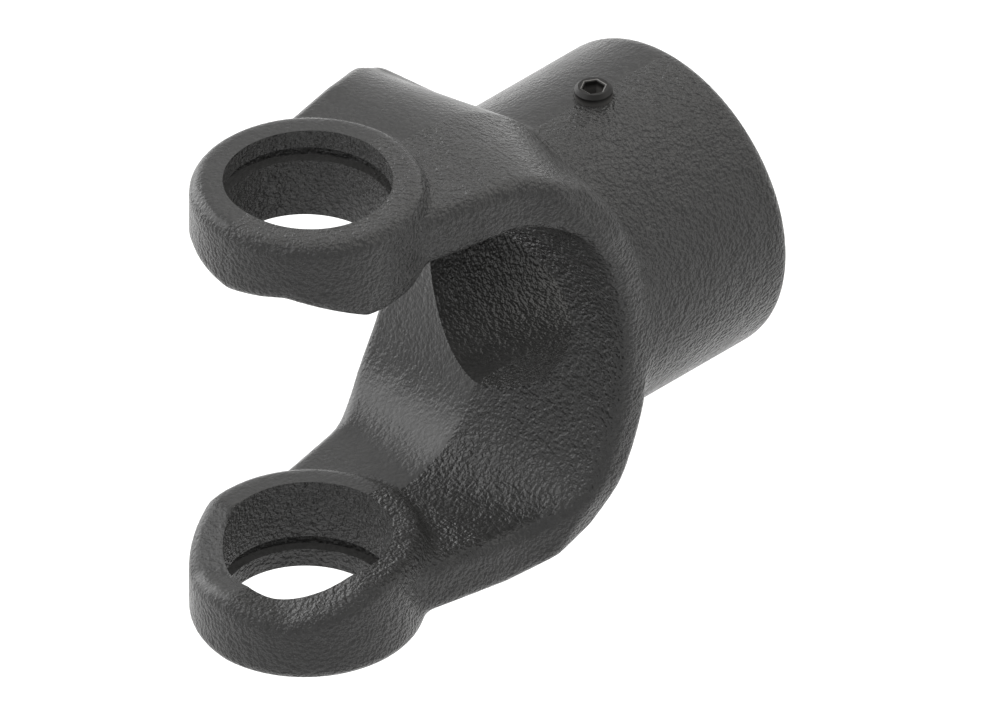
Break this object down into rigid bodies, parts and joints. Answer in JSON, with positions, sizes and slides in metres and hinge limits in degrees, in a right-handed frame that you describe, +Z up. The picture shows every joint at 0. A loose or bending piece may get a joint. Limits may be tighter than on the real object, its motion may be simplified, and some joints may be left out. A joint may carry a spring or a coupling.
{
  "type": "forged driveline end yoke",
  "caption": "Forged end yoke for a universal joint: two bored ears on a curved fork, and a round bored hub with a set screw.",
  "frame": {"origin": "centre of the joint, where the axis of the two cap bores crosses the axis of the shaft bore", "axes": "+X along the shaft bore towards the hub's open end, +Z up through the two ears along the cap bores, Y = 0 the parting plane of the forging"},
  "size_m": [0.1007, 0.0534, 0.085],
  "materials": {
    "forged_steel": "dark grey forged skin with a fine pebbled grain",
    "black_screw": "black oxide"
  },
  "bodies": {
    "root": {"yoke": "forged_steel", "set_screw": "black_screw"}
  },
  "joints": []
}
